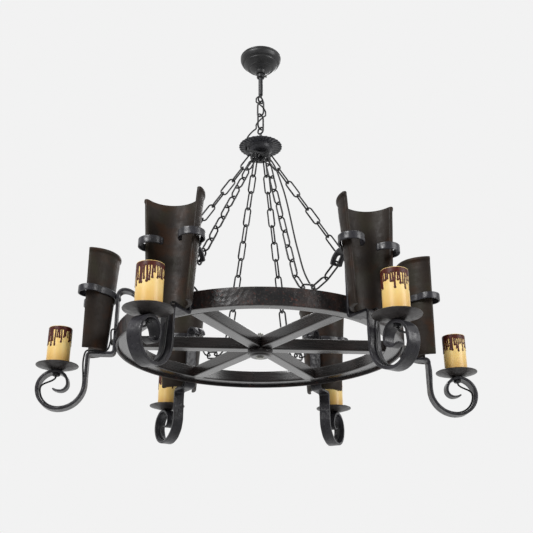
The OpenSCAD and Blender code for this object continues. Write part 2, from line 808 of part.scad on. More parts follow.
module lamp_nipples() {
  color(iron) for (n = [1:arm_count]) at_lamp(n) difference() {
    union() {
      translate([0, 0, lamp_nut_z - nipple_end]) cylinder(r = nipple_r,
        h = holder_z + holder_base_h - lamp_nut_z + nipple_end);
      translate([0, 0, lamp_nut_z]) hex(nut_r, nut_h);
    }
    translate([0, 0, lamp_nut_z - nipple_end - past])
      cylinder(r = nipple_r - nipple_wall, h = sleeve_h);
  }
}

// --------------------------------------------------------------- cables

cable_d = 3;

// The supply cable weaves loosely down past the two links. It crosses
// the line that each link swings about, so that no swing parts it.
supply_top = [
  [0.1, -1.8, -58], [0.1, -1.8, -70], [1.9, -5.4, -74.5],
  [-5, -9.5, -80], [-9.2, -9.2, -84.5], [-9.2, -9.2, -87.6]];
supply_upper = [
  [-9.2, -9.2, -88.8], [-9.2, -9.2, -92], [-4, -13, -99],
  [5, -13, -109], [9.2, -9.2, -115], [9.2, -9.2, -118.3]];
supply_lower = [
  [9.2, -9.2, -119.6], [9.2, -9.2, -123], [5, -13, -129],
  [-4, -13, -139], [-9.2, -9.2, -145.5], [-9.2, -9.2, -149]];
module supply_cable_top() color(black) cord(supply_top, cable_d);
module supply_cable_upper() color(black) cord(supply_upper, cable_d);
module supply_cable_lower() color(black) cord(supply_lower, cable_d);

// On through the disc, round under it, down beside the slack chain of
// arm 6 and onto the wheel
drop_route = [
  [-9.2, -9.2, -150.3], [-9.2, -9.2, -153.5], [-17, -8, -161],
  [-26, -4, -172], [-28, 0, -184], [-28, 0, -198], [-30, -20, -212],
  [-8, -38, -224], [16, -39, -240], [38, -44, -300], [60, -79, -440],
  [72, -98, -500], [92, -132, -550], [110, -173, -574],
  [116, -200, -577.5]];

// In the arm's frame: over the rim and round the bar, down its outer
// face, under the tile, over the corner, round inside the scroll, and
// slanting across and up into the nipple
lead_y = 9;
ring_at = felloe_in + felloe_w / 2 - 0.5;
ring_z = tyre_lip + felloe_h + cable_d / 2;
drop_face_r = drop_r + bar_t / 2;
lead_in = bar_t / 2 + slide_gap + cable_d / 2;
lead_bend = 9;          // its bends off the scroll and into the nipple
lead_turn = 65;
scroll_c1 = [drop_r + scroll_r1, drop_end_z];
scroll_c2 = [drop_r + scroll_r1, scroll_low + scroll_r2];
function in_scroll(c, r, a) =
  [c[0] + (r - lead_in) * cos(a), 0, c[1] + (r - lead_in) * sin(a)];
lead_off = in_scroll(scroll_c2, scroll_r2, 360);
function lead_arc(a) = lead_bend * [cos(a) - 1, 0, sin(a)];
lead_end = [lamp_at, 0,
  lead_off[2] + 2 * lead_arc(lead_turn)[2]
    + (lead_off[0] - lamp_at + 2 * lead_arc(lead_turn)[0]) / tan(lead_turn)];
lead_route = concat([
  [ring_at + 4, 14, ring_z + 2], [tyre_r + 7, 15, tyre_h + 4],
  [bar_face_r + 4, lead_y, bolt_z - 1],
  [bar_face_r + 10, lead_y, foot_z + 1.7],
  [drop_r - 5, lead_y - 1, foot_z + 2.3], [drop_face_r, 7, foot_z + 0.3],
  [drop_face_r + 3.7, 5, foot_z - 15.5]],
  [for (a = [180:22.5:247.5]) in_scroll(scroll_c1, scroll_r1, a)],
  [for (a = [270:22.5:360]) in_scroll(scroll_c2, scroll_r2, a)], [
  lead_off + lead_arc(lead_turn / 2), lead_off + lead_arc(lead_turn),
  lead_end - lead_arc(lead_turn), lead_end - lead_arc(lead_turn / 2),
  lead_end]);

module lamp_cables() {
  color(black) {
    cord(drop_route, cable_d);
    at_wheel() rotate([0, 0, -arm_step])
      rotate_extrude(angle = 360 - arm_step, $fn = 120)
        translate([ring_at, ring_z]) circle(d = cable_d, $fn = 16);
    each_arm() cord(lead_route, cable_d);
  }
}

// ------------------------------------------------------------- assembly

ceiling_eye();
stem_tube();
stem_hook();
canopy();
canopy_collar();
canopy_set_screw();
upper_link();
lower_link();
supply_cable_top();
supply_cable_upper();
supply_cable_lower();
disc_eye();
top_disc();
disc_nuts();
chain_plate();
chain(1);  // chain_1
chain(2);  // chain_2
chain(3);  // chain_3
chain(4);  // chain_4
chain(5);  // chain_5
chain(6);  // chain_6
tyre();
felloe();
spokes();
hub_boss();
wheel_bolts();
arm(1);  // arm_1
arm(2);  // arm_2
arm(3);  // arm_3
arm(4);  // arm_4
arm(5);  // arm_5
arm(6);  // arm_6
tile(1);  // tile_1
tile(2);  // tile_2
tile(3);  // tile_3
tile(4);  // tile_4
tile(5);  // tile_5
tile(6);  // tile_6
tile_strap(1);  // tile_strap_1
tile_strap(2);  // tile_strap_2
tile_strap(3);  // tile_strap_3
tile_strap(4);  // tile_strap_4
tile_strap(5);  // tile_strap_5
tile_strap(6);  // tile_strap_6
strap_rivets();
drip_pan(1);  // drip_pan_1
drip_pan(2);  // drip_pan_2
drip_pan(3);  // drip_pan_3
drip_pan(4);  // drip_pan_4
drip_pan(5);  // drip_pan_5
drip_pan(6);  // drip_pan_6
candle_sleeve(1);  // candle_sleeve_1
candle_sleeve(2);  // candle_sleeve_2
candle_sleeve(3);  // candle_sleeve_3
candle_sleeve(4);  // candle_sleeve_4
candle_sleeve(5);  // candle_sleeve_5
candle_sleeve(6);  // candle_sleeve_6
lampholders();
lamp_nipples();
lamp_cables();
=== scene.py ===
import math

import bmesh
import bpy
import numpy as np
from mathutils import Matrix, Vector


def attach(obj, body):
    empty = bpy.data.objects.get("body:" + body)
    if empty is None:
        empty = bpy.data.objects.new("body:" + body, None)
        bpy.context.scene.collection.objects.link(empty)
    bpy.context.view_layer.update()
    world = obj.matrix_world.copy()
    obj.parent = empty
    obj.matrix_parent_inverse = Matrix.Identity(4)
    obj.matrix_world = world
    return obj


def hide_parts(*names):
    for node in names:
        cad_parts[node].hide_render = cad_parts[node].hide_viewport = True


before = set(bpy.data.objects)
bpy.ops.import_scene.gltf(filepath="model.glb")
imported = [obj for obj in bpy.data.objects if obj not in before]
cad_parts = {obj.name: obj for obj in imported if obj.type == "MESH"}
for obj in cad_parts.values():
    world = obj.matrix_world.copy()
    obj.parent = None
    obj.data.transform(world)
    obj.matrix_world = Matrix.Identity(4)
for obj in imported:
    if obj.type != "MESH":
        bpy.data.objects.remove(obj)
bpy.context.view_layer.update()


# --- Camera -----------------------------------------------------------------
# It stands 1.35 m in front of the hanging light and a metre below its eye,
# and looks up at the underside of the wheel. Its place in metres and its
# turns in radians were fitted to the wheel's ellipses.
camera = bpy.data.objects.new("camera", bpy.data.cameras.new("camera"))
bpy.context.collection.objects.link(camera)
bpy.context.scene.camera = camera
camera.data.lens = 54
camera.data.sensor_width = 36
standing = (-0.0849, -1.3473, -1.0018)
yaw, pitch, roll = 0.0713, 0.3933, -0.0013
forward = Vector((math.sin(yaw) * math.cos(pitch),
                  math.cos(yaw) * math.cos(pitch), math.sin(pitch)))
right = Vector((math.cos(yaw), -math.sin(yaw), 0))
above = right.cross(forward)
tilted = math.cos(roll) * right + math.sin(roll) * above
camera.matrix_world = Matrix.Translation(standing) @ (
    Matrix((tilted, tilted.cross(forward), -forward)).transposed().to_4x4())


# --- Lamp cable -------------------------------------------------------------
# Limp black two-core cable, 3 mm thick. It leaves the stem, weaves past the
# two big links, goes through the disc and down beside the slack chain, lies
# round the wheel on the felloe, and sends a lead down each arm's scroll.
def linear(code):
    """An sRGB colour in hex as linear light: each part, from 0 to 1, plus
    0.055, over 1.055, to the power 2.4, or a 12.92th where it is tiny."""
    parts = [int(code[k:k + 2], 16) / 255 for k in (1, 3, 5)]
    return [c / 12.92 if c <= 0.04045 else ((c + 0.055) / 1.055) ** 2.4
            for c in parts] + [1.0]


def add(tree, kind, values=(), **settings):
    """Adds a node. values sets sockets by name or number, to a constant or
    to another node's socket."""
    made = tree.nodes.new("ShaderNode" + kind)
    for key, value in settings.items():
        setattr(made, key, value)
    for key, value in dict(values).items():
        if isinstance(value, bpy.types.NodeSocket):
            tree.links.new(value, made.inputs[key])
        else:
            made.inputs[key].default_value = value
    return made


def material(name, roughness, **constants):
    """A material with its shader, its object coordinates in millimetres and
    its UV map in millimetres."""
    made = bpy.data.materials.new(name)
    made.use_nodes = True
    tree = made.node_tree
    shader = tree.nodes["Principled BSDF"]
    shader.inputs["Roughness"].default_value = roughness
    for key, value in constants.items():
        shader.inputs[key.replace("_", " ")].default_value = value
    coords = add(tree, "TexCoord")
    scaled = [add(tree, "VectorMath", {0: coords.outputs[k], "Scale": 1000.0},
                  operation="SCALE").outputs[0] for k in ("Object", "UV")]
    return made, tree, shader, scaled[0], scaled[1]


def noise(tree, where, size, detail=3.0, lean=(1, 1, 1), distortion=0.0):
    """Soft noise from 0 to 1, read at the place over size times lean, so
    its spots are about size millimetres wide and longer by lean."""
    spread = add(tree, "VectorMath", {0: where,
                 1: [1 / (size * k) for k in lean]}, operation="MULTIPLY")
    return add(tree, "TexNoise", {"Vector": spread.outputs[0], "Scale": 1.0,
               "Detail": detail, "Distortion": distortion}).outputs["Fac"]


def dents(tree, where, size):
    """Distance from the middle of the nearest hammer mark, 0 to about 0.8,
    with the marks about size millimetres apart."""
    return add(tree, "TexVoronoi", {"Vector": where, "Scale": 1 / size,
               "Smoothness": 0.6}, feature="SMOOTH_F1").outputs["Distance"]


def ramp(tree, value, *stops):
    """Colours from (place, hex) stops along a value."""
    made = add(tree, "ValToRGB", {0: value})
    points = made.color_ramp.elements
    while len(points) < len(stops):
        points.new(0.5)
    for point, (place, code) in zip(points, stops):
        point.position, point.color = place, linear(code)
    return made.outputs[0]


def levels(tree, value, low, high, to_low, to_high):
    """A value moved in proportion from the range low to high to the range
    to_low to to_high, and held at its ends."""
    return add(tree, "MapRange", {0: value, 1: low, 2: high, 3: to_low,
               4: to_high}).outputs[0]


def blend(tree, amount, first, second):
    """A mix of two colours, each a socket or a hex code."""
    sides = [linear(c) if isinstance(c, str) else c for c in (first, second)]
    made = add(tree, "Mix", {0: amount, 6: sides[0], 7: sides[1]},
               data_type="RGBA")
    return made.outputs[2]


def bump(tree, shader, *layers):
    """Lays height layers, (value, depth in millimetres), on the shader."""
    normal = None
    for value, depth in layers:
        made = add(tree, "Bump", {"Height": value, "Strength": 1.0,
                   "Distance": depth / 1000})
        if normal:
            tree.links.new(normal, made.inputs["Normal"])
        normal = made.outputs[0]
    tree.links.new(normal, shader.inputs["Normal"])


def grid(points, closed=False, round_profile=True, caps=True):
    """Vertices, faces and UVs of a skin over rows of points. Each row is a
    profile, and closed joins the last row to the first. The UVs are the
    mean lengths run along the rows and round them, in millimetres."""
    rows, cols = points.shape[:2]
    row, col = np.meshgrid(np.arange(rows if closed else rows - 1),
                           np.arange(cols if round_profile else cols - 1),
                           indexing="ij")
    row, col = row.ravel(), col.ravel()
    corners = [(row, col), (row + 1, col), (row + 1, col + 1), (row, col + 1)]
    quads = np.stack([r % rows * cols + c % cols for r, c in corners], 1)

    def run(a, axis):
        """The mean length run up to each point along an axis."""
        wrapped = np.concatenate([a, a.take([0], axis)], axis)
        steps = np.linalg.norm(np.diff(wrapped, axis=axis), axis=2)
        return np.concatenate([[0], np.cumsum(steps.mean(1 - axis))])
    along, across = run(points, 0), run(points, 1)
    uv = np.stack([np.stack([along[r], across[c]], 1) for r, c in corners], 1)
    faces = quads.tolist()
    uv = uv.reshape(-1, 2)
    if caps and not closed:
        for r in (0, rows - 1):
            ring = [r * cols + c for c in range(cols)]
            faces.append(ring)
            flat = points[r] - points[r].mean(0)
            spans = np.argsort(np.ptp(flat, axis=0))[::-1][:2]
            uv = np.concatenate([uv, flat[:, spans] + along[r]])
    return points.reshape(-1, 3), faces, uv


def piece(name, parts, look, body, slot, *nodes, marks=None, smooth=38):
    """Joins grids in one object that rides on a body and stands for nodes.
    Points come in millimetres. marks gives each face a material number."""
    points, faces, uvs, start = [], [], [], 0
    for part_points, part_faces, part_uv in parts:
        points.append(part_points / 1000)
        faces += [[v + start for v in face] for face in part_faces]
        uvs.append(part_uv / 1000)
        start += len(part_points)
    mesh = bpy.data.meshes.new(name)
    mesh.from_pydata(np.concatenate(points), [], faces)
    mesh.uv_layers.new(name="UVMap").data.foreach_set(
        "uv", np.concatenate(uvs).astype(np.float32).ravel())
    for one in look if isinstance(look, (list, tuple)) else [look]:
        mesh.materials.append(one)
    if marks is not None:
        mesh.polygons.foreach_set("material_index", marks)
    tidy = bmesh.new()
    tidy.from_mesh(mesh)
    bmesh.ops.recalc_face_normals(tidy, faces=tidy.faces)
    tidy.to_mesh(mesh)
    tidy.free()
    mesh.shade_smooth()
    mesh.set_sharp_from_angle(angle=math.radians(smooth))
    made = bpy.data.objects.new(name, mesh)
    bpy.context.collection.objects.link(made)
    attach(made, body)
    if nodes:
        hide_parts(*nodes)
    return made


wheel_drop = 606


def at_wheel(points, arm=1):
    """Points in the first arm's frame, (distance, side, height above the
    tyre's lower edge), turned 60 degrees for each arm after it and let
    down by the drop from the ceiling to the wheel."""
    turn = math.radians(60 * (arm - 1))
    x, y, z = np.moveaxis(np.asarray(points, float), -1, 0)
    return np.stack([x * math.cos(turn) - y * math.sin(turn),
                     x * math.sin(turn) + y * math.cos(turn),
                     z - wheel_drop], -1)


def smooth_line(points, step=1.5):
    """A curve through the points, evenly sampled: on each span the cubic
    whose end slopes are set by the neighbouring points, with knots spaced
    by the square root of the distance."""
    p = np.asarray(points, float)
    p = np.concatenate([[2 * p[0] - p[1]], p, [2 * p[-1] - p[-2]]])
    t = np.concatenate([[0], np.cumsum(
        np.sqrt(np.linalg.norm(np.diff(p, axis=0), axis=1)))])
    samples = 25
    out = []
    for k in range(1, len(p) - 2):
        s = np.linspace(t[k], t[k + 1], samples)[:-1, None]

        def mix(a, b, lo, hi):
            """Goes in proportion from a, at lo, to b, at hi."""
            return ((hi - s) * a + (s - lo) * b) / (hi - lo)
        a = [mix(p[k + d], p[k + d + 1], t[k + d], t[k + d + 1])
             for d in (-1, 0, 1)]
        b = [mix(a[d], a[d + 1], t[k + d - 1], t[k + d + 1]) for d in (0, 1)]
        out.append(mix(b[0], b[1], t[k], t[k + 1]))
    line = np.concatenate(out + [p[-2:-1]])
    lengths = np.concatenate([[0], np.cumsum(
        np.linalg.norm(np.diff(line, axis=0), axis=1))])
    marks = np.linspace(0, lengths[-1], max(3, round(lengths[-1] / step)))
    return np.stack([np.interp(marks, lengths, line[:, k])
                     for k in range(3)], 1)


def tube(line, radius, sides=12, closed=False):
    """Rings of points round a line: the radius times the cosine one way and
    the sine the other way, square to the line. The first way is carried on
    from the ring before, so the tube never twists."""
    steep = 0.8
    line = np.asarray(line, float)
    ahead = (np.roll(line, -1, 0) - np.roll(line, 1, 0) if closed
             else np.gradient(line, axis=0))
    ahead /= np.linalg.norm(ahead, axis=1)[:, None]
    side = np.cross(ahead[0], [0, 0, 1] if abs(ahead[0][2]) < steep
                    else [0, 1, 0])
    around = np.linspace(0, 2 * np.pi, sides, endpoint=False)
    radius = np.broadcast_to(radius, len(line))
    rings = []
    for at, d, r in zip(line, ahead, radius):
        side = side - d * side.dot(d)
        side /= np.linalg.norm(side)
        up = np.cross(d, side)
        rings.append(at + r * (np.cos(around)[:, None] * side
                               + np.sin(around)[:, None] * up))
    return np.array(rings)


# Extruded PVC: a dull, even sheen. Its fine grain is drawn a millimetre
# coarse, so that it shows.
cable, tree, shader, place, _ = material("black PVC cable sleeve", 0.5)
grain = noise(tree, place, 1.2)
tree.links.new(ramp(tree, noise(tree, place, 14), (0.3, "#121213"),
                    (0.7, "#1f1f20")), shader.inputs["Base Color"])
tree.links.new(levels(tree, grain, 0.3, 0.7, 0.42, 0.6),
               shader.inputs["Roughness"])
bump(tree, shader, (grain, 0.08))

cable_d = 3
run_r, run_z = 232, 28
felloe_run = [[run_r * math.cos(a), run_r * math.sin(a), run_z]
              for a in np.radians(np.linspace(-60, 240, 301))]
# A lead goes over the tyre, down the upright, and along the inner faces of
# the scroll's first two bends, here as (radius, height of middle, angles).
bends_at = 341
bends = ((39.7, -60, (180, 202.5, 225, 247.5)),
         (30.7, -69, (270, 292.5, 315, 337.5, 360)))
inside = [[bends_at + r * math.cos(a), 0, z + r * math.sin(a)]
          for r, z, angles in bends for a in np.radians(angles)]
lead = [[236, 14, 30], [257, 15, 33], [259, 9, 14], [265, 9, -2.8],
        [292, 8, -2.2], [299.5, 7, -4.2], [303.2, 5, -20], *inside,
        [370.29, 0, -64.16], [366.5, 0, -60.84], [352.2, 0, -54.17],
        [348.41, 0, -50.85], [347, 0, -46.01]]
routes = {
    "supply_top": ("stem", [
        [0.1, -1.8, -58], [0.1, -1.8, -70], [1.9, -5.4, -74.5],
        [-5, -9.5, -80], [-9.2, -9.2, -84.5], [-9.2, -9.2, -87.6]]),
    "supply_upper": ("upper_link", [
        [-9.2, -9.2, -88.8], [-9.2, -9.2, -92], [-4, -13, -99],
        [5, -13, -109], [9.2, -9.2, -115], [9.2, -9.2, -118.3]]),
    "supply_lower": ("lower_link", [
        [9.2, -9.2, -119.6], [9.2, -9.2, -123], [5, -13, -129],
        [-4, -13, -139], [-9.2, -9.2, -145.5], [-9.2, -9.2, -149]]),
    "cable_drop": ("fixture", [
        [-9.2, -9.2, -150.3], [-9.2, -9.2, -153.5], [-17, -8, -161],
        [-26, -4, -172], [-28, 0, -184], [-28, 0, -198],
        [-30, -20, -212], [-8, -38, -224], [16, -39, -240],
        [38, -44, -300], [60, -79, -440], [72, -98, -500],
        [92, -132, -550], [110, -173, -574], [116, -200, -577.5]]),
    "cable_round_wheel": ("fixture", at_wheel(felloe_run)),
}
for n in range(1, 7):
    routes[f"lead_{n}"] = ("fixture", at_wheel(lead, n))
for name, (body, points) in routes.items():
    line = smooth_line(points)
    cord = piece(name, [grid(tube(line, cable_d / 2))], cable, body,
                 "cable_pvc",
                 name.replace("supply_", "supply_cable_")
                 if name.startswith("supply") else "lamp_cables")


# --- Stem, hooks and big links ----------------------------------------------
# Mild steel tube and round wire, bent to closed hooks and big links, and
# painted satin charcoal. The CAD's own solids stay, painted.
def iron(name, dark, light, roughness, mark, depth, worn=1.0):
    """Satin charcoal paint over iron: slow patches of two tones, hammer
    marks spaced and as deep as mark and depth say, in millimetres, and as
    much grain and pale flecks as it is worn. The grain is drawn coarser
    than the real paint's, so that it shows."""
    made, tree, shader, place, _ = material(name, roughness)
    patches = noise(tree, place, 22, 5)
    flecks = noise(tree, place, 1.6, 2)
    colour = ramp(tree, patches, (0.32, dark), (0.68, light))
    colour = blend(tree, levels(tree, flecks, 0.66, 0.78, 0.0, 0.55 * worn),
                   colour, "#6d6c6b")
    tree.links.new(colour, shader.inputs["Base Color"])
    tree.links.new(levels(tree, noise(tree, place, 5, 4), 0.3, 0.7,
                          roughness - 0.09, roughness + 0.11),
                   shader.inputs["Roughness"])
    bump(tree, shader, (dents(tree, place, mark), depth),
         (noise(tree, place, 2.2, 3), 0.12 * worn),
         (noise(tree, place, 0.8, 2), 0.04 * worn))
    return made


stem_paint = iron("charcoal paint on steel", "#1d1d1f", "#2a2a2c", 0.36, 5,
                  0.04, 0.4)
for node in ("ceiling_eye", "stem_tube", "stem_hook", "upper_link",
             "lower_link", "disc_eye", "disc_nuts", "chain_plate",
             "lamp_nipples"):
    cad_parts[node].data.materials[0] = stem_paint


# --- Canopy -----------------------------------------------------------------
# Thin sheet iron spun to a bowl with two soft steps and a straight rim,
# satin charcoal. A turned collar with a set screw holds it up on the stem.
def turned(profile, sides=120, centre=(0, 0)):
    """A closed profile of (radius, height) points turned round an upright
    axis: the radius times the cosine and the sine of each angle."""
    profile = np.asarray(profile, float)
    a = np.linspace(0, 2 * np.pi, sides, endpoint=False)[:, None]
    return np.stack([centre[0] + np.cos(a) * profile[:, 0],
                     centre[1] + np.sin(a) * profile[:, 0],
                     np.broadcast_to(profile[:, 1], (sides, len(profile)))],
                    -1)


def rounded(profile, sharp=0.35, steps=4):
    """A closed outline with each corner rounded: a quadratic curve that is
    drawn towards the corner, and starts and ends on its two sides, sharp
    millimetres away or half a side at most."""
    profile = np.asarray(profile, float)
    out = []
    for k, at in enumerate(profile):
        before = profile[k - 1] - at
        after = profile[(k + 1) % len(profile)] - at
        cut = [at + v / np.linalg.norm(v) * min(sharp, np.linalg.norm(v) / 2)
               for v in (before, after)]
        for s in np.linspace(0, 1, steps):
            out.append((1 - s) ** 2 * cut[0] + 2 * s * (1 - s) * at
                       + s * s * cut[1])
    return np.array(out)


canopy_paint = iron("charcoal paint on spun iron", "#1e1e1f", "#2a2a2b", 0.38,
                    9, 0.03, 0.2)
sheet, taper = 1.2, 1.4
nose_r, bowl_w, bowl_h, bowl_top = 8.8, 32.2, 30, 14
slopes = np.radians(np.linspace(0, 80, 100))
bowl = np.stack([nose_r + bowl_w * np.cos(slopes) ** taper,
                 bowl_top - bowl_h * np.sin(slopes) ** taper], 1)
out_of = np.stack([np.cos(slopes), -np.sin(slopes)], 1)
# Each step is a ledge 1 mm deep with a soft groove of 1.3 mm along it.
ledge_w, groove, groove_w = 1.2, 1.3, 3
step_in = sum(1 / (1 + np.exp((at - np.degrees(slopes)) / ledge_w))
              + groove * np.exp(-((np.degrees(slopes) - at) / groove_w) ** 2)
              for at in (28, 54))
bowl = bowl - out_of * step_in[:, None]
outside = np.concatenate([[[40.6, 20], [41, 19.4], [41, 17.6], [40.4, 16.8]],
                          bowl[1:], [[9.6, -19.3], [9, -20], [5.2, -20]]])
inside = np.concatenate([[[4.8, -19.6], [4.8, -17.8], [8.6, -17.4]],
                         (bowl - sheet * out_of)[:0:-1],
                         [[39.6, 17], [39.6, 20]]])
piece("canopy_bowl", [grid(turned(np.concatenate([outside, inside]), 144),
                           closed=True)],
      canopy_paint, "canopy", "canopy_iron", "canopy")
piece("canopy_collar_turned", [grid(turned(rounded(
    [[4.8, -29], [7, -29], [8, -27.6], [8, -22.4], [7, -20.2], [4.8, -20.2]],
    0.7), 72), closed=True)], canopy_paint, "canopy", "canopy_iron",
    "canopy_collar")


# --- Fluted disc ------------------------------------------------------------
# Cast iron disc, 84 mm across, with thirty flutes round a smooth domed boss.
# The eye's shank clamps it on a spacer against the chain plate.
flutes, scallop, valley, ridge, parting = 30, 0.9, 1.0, 0.9, -189.8
around = np.linspace(0, 2 * np.pi, 480, endpoint=False)[:, None]
wave = np.clip(0.5 + 0.5 * np.cos(flutes * around), 0, 1) ** 0.7
under = np.array([[42, -190.4], [41, -191.2], [37, -191.6], [32, -191.7],
                  [27.5, -191.4], [25, -191.2], [23.6, -192], [23, -193.5],
                  [22.6, -196], [21.4, -199], [19.4, -201.4], [16.4, -203],
                  [12.6, -203.8], [7, -204], [2.6, -204]])
over = np.array([[2.6, -180], [10, -180.4], [17, -182], [23, -184],
                 [27.5, -185.3], [32, -186.4], [37, -187.4], [41, -188.4],
                 [42, -189.2]])
rim = np.concatenate([under, over])
flute_from, flute_grows, edge_from = 24, 16, 38
flute = np.clip((rim[:, 0] - flute_from) / flute_grows, 0, 1) * wave
cast_r = rim[:, 0] - scallop * flute * (rim[:, 0] > edge_from)
cast = np.stack([cast_r * np.cos(around), cast_r * np.sin(around),
                 rim[:, 1] + valley * flute * (rim[:, 1] < parting)
                 - ridge * flute * (rim[:, 1] >= parting)], -1)
# The disc's two tones are lighter than the same charcoal paint on the stem.
# The charcoal is real; the lift is a painted sheen for the light on its boss.
disc_paint_with_painted_sheen = iron("charcoal paint on cast iron with painted sheen", "#27272a", "#36363b", 0.4,
                  6, 0.06, 0.4)
piece("disc_cast", [grid(cast, closed=True)], disc_paint_with_painted_sheen, "fixture",
      "canopy_iron", "top_disc")


# --- Chains -----------------------------------------------------------------
# Oval welded links of 3 mm wire, 40 mm long, each turned a quarter from its
# neighbour. Three chains are tight, and three hang slack to their hooks.
# The joints between links are (distance from the middle, height) points.
chain_paint = iron("charcoal paint on wire links", "#1a1a1b", "#29292a", 0.36,
                   4, 0.1)
tight = np.linspace([15.8146, 395.666], [218.839, 89.7449], 12)
near = [[17.05, 396.18], [27.1047, 364.352], [37.1594, 332.524],
        [47.2142, 300.697], [57.2689, 268.869], [67.3236, 237.041],
        [77.3783, 205.213], [87.433, 173.385], [97.4877, 141.558],
        [107.543, 109.73], [126.687, 82.3874], [157.987, 70.7942],
        [190.357, 78.9349], [219.903, 94.4636]]
far = [[17.05, 396.18], [25.455, 363.877], [33.8601, 331.575],
       [42.2651, 299.272], [50.6701, 266.969], [59.0751, 234.667],
       [67.4802, 202.364], [75.8852, 170.061], [84.2902, 137.759],
       [92.6953, 105.456], [101.121, 73.1588], [119.552, 45.3307],
       [150.542, 32.9322], [183.082, 40.368], [205.61, 64.9964],
       [218.327, 95.8574]]
wire_d, oval_r, half_straight = 3, 6, 12.4391
weld_high, weld_long = 0.22, 0.1
turns = np.linspace(0, 2 * np.pi, 56, endpoint=False)
oval = np.stack([oval_r * np.cos(turns), oval_r * np.sin(turns)
                 + half_straight * np.sign(np.sin(turns) + 1e-9)], 1)
for n, joints in enumerate((tight, far, far, tight, tight, near), 1):
    links = []
    for k, (a, b) in enumerate(zip(joints[:-1], joints[1:])):
        a, b = np.array(a), np.array(b)
        along = (b - a) / np.linalg.norm(b - a)
        along = np.array([along[0], 0, along[1]])
        across = (np.array([along[2], 0, -along[0]]) if k % 2 == 0
                  else np.array([0, 1.0, 0]))
        middle = np.array([(a + b)[0] / 2, 0, (a + b)[1] / 2])
        line = middle + oval[:, :1] * across + oval[:, 1:] * along
        weld_at = 0.02 if n % 2 else np.pi
        weld = np.exp(-((turns - weld_at) / weld_long) ** 2)
        links.append(grid(tube(at_wheel(line, n), wire_d / 2
                               + weld_high * weld, 12, closed=True),
                          closed=True))
    piece(f"links_{n}", links, chain_paint, "fixture", "chain_iron",
          f"chain_{n}")


# --- Tyre -------------------------------------------------------------------
# Flat iron band, 29 x 4 mm, bent round the wheel and hammered. Its black
# finish has worn to rusty brown patches, and the small pale flecks on it
# are painted highlights: glints off the hammer marks.
tyre_paint, tree, shader, place, _ = material("blackened hammered iron", 0.45)
marks = dents(tree, place, 7)
rust = noise(tree, place, 26, 6)
glint_specks = noise(tree, place, 2.4, 2)
colour = ramp(tree, rust, (0.38, "#191819"), (0.52, "#231e1e"),
              (0.68, "#35241f"))
# Pale specks mixed into the colour here are painted glints, where light
# catches the hammer marks. The same noise also raises them a little in the
# bump.
colour = blend(tree, levels(tree, glint_specks, 0.63, 0.72, 0.0, 0.7), colour,
               "#5a534e")
colour = blend(tree, levels(tree, noise(tree, place, 5, 3), 0.6, 0.72, 0.0,
                            0.7), colour, "#54291d")
tree.links.new(colour, shader.inputs["Base Color"])
tree.links.new(levels(tree, rust, 0.35, 0.7, 0.3, 0.5),
               shader.inputs["Roughness"])
bump(tree, shader, (marks, 0.6), (glint_specks, 0.2))


def ripple(points, size, seed):
    """Smooth unevenness from about -1 to 1, size millimetres from crest to
    crest: twice the mean of sixteen sine waves in fixed random ways."""
    waves = 16
    chance = np.random.default_rng(seed)
    ways = chance.normal(size=(waves, 3))
    ways *= 2 * np.pi / size / np.linalg.norm(ways, axis=1)[:, None]
    phases = chance.uniform(0, 2 * np.pi, waves)
    return np.sin(np.asarray(points) @ ways.T + phases).mean(-1) * 2


def box_profile(low, high, counts, edge):
    """A rectangle's outline with rounded corners. counts is how many spans
    its sides along the first and the second axis have."""
    corners = rounded([[low[0], low[1]], [high[0], low[1]],
                       [high[0], high[1]], [low[0], high[1]]], edge, 4)
    out = []
    for k, (a, b) in enumerate(zip(corners, np.roll(corners, -1, 0))):
        count = counts[k // 4 % 2] if k % 4 == 3 else 1
        out += [a + (b - a) * i / count for i in range(count)]
    return np.array(out)


tyre_in, tyre_r, tyre_h = 246, 250, 29
band = turned(box_profile((tyre_in, 0), (tyre_r, tyre_h), (1, 14), 0.8), 720)
band[..., 2] -= wheel_drop
# Hammering leaves it up to 0.3 mm out of round.
hammered = 0.0006
uneven = ripple(band, 24, 3)[..., None]
band = band * (1 - hammered * (1 + uneven) * [1, 1, 0])
piece("tyre_band", [grid(band, closed=True)], tyre_paint, "fixture",
      "tyre_iron", "tyre")


# --- Wheel ------------------------------------------------------------------
# Softwood felloe in six bent lengths, six spokes halved to points at the
# centre, and a turned boss below, all stained black, with a satin varnish.
def wood(name):
    """Black stain over wood: streaks along the grain, and pores in them,
    both drawn coarser than the real ones, so that they show, under a thin
    satin varnish. The UV map's first axis runs along the grain."""
    made, tree, shader, _, flat = material(name, 0.3)
    streaks = noise(tree, flat, 1.6, 4, lean=(26, 1, 1), distortion=0.3)
    pores = noise(tree, flat, 0.7, 2, lean=(14, 1, 1))
    stain = noise(tree, flat, 60, 3)
    colour = blend(tree, levels(tree, stain, 0.4, 0.7, 0.0, 0.6),
                   ramp(tree, streaks, (0.3, "#0e0d0d"), (0.7, "#1b1817")),
                   "#231815")
    tree.links.new(colour, shader.inputs["Base Color"])
    tree.links.new(levels(tree, streaks, 0.3, 0.7, 0.2, 0.34),
                   shader.inputs["Roughness"])
    shader.inputs["Coat Weight"].default_value = 0.6
    shader.inputs["Coat Roughness"].default_value = 0.22
    bump(tree, shader, (streaks, 0.06), (pores, 0.04))
    return made


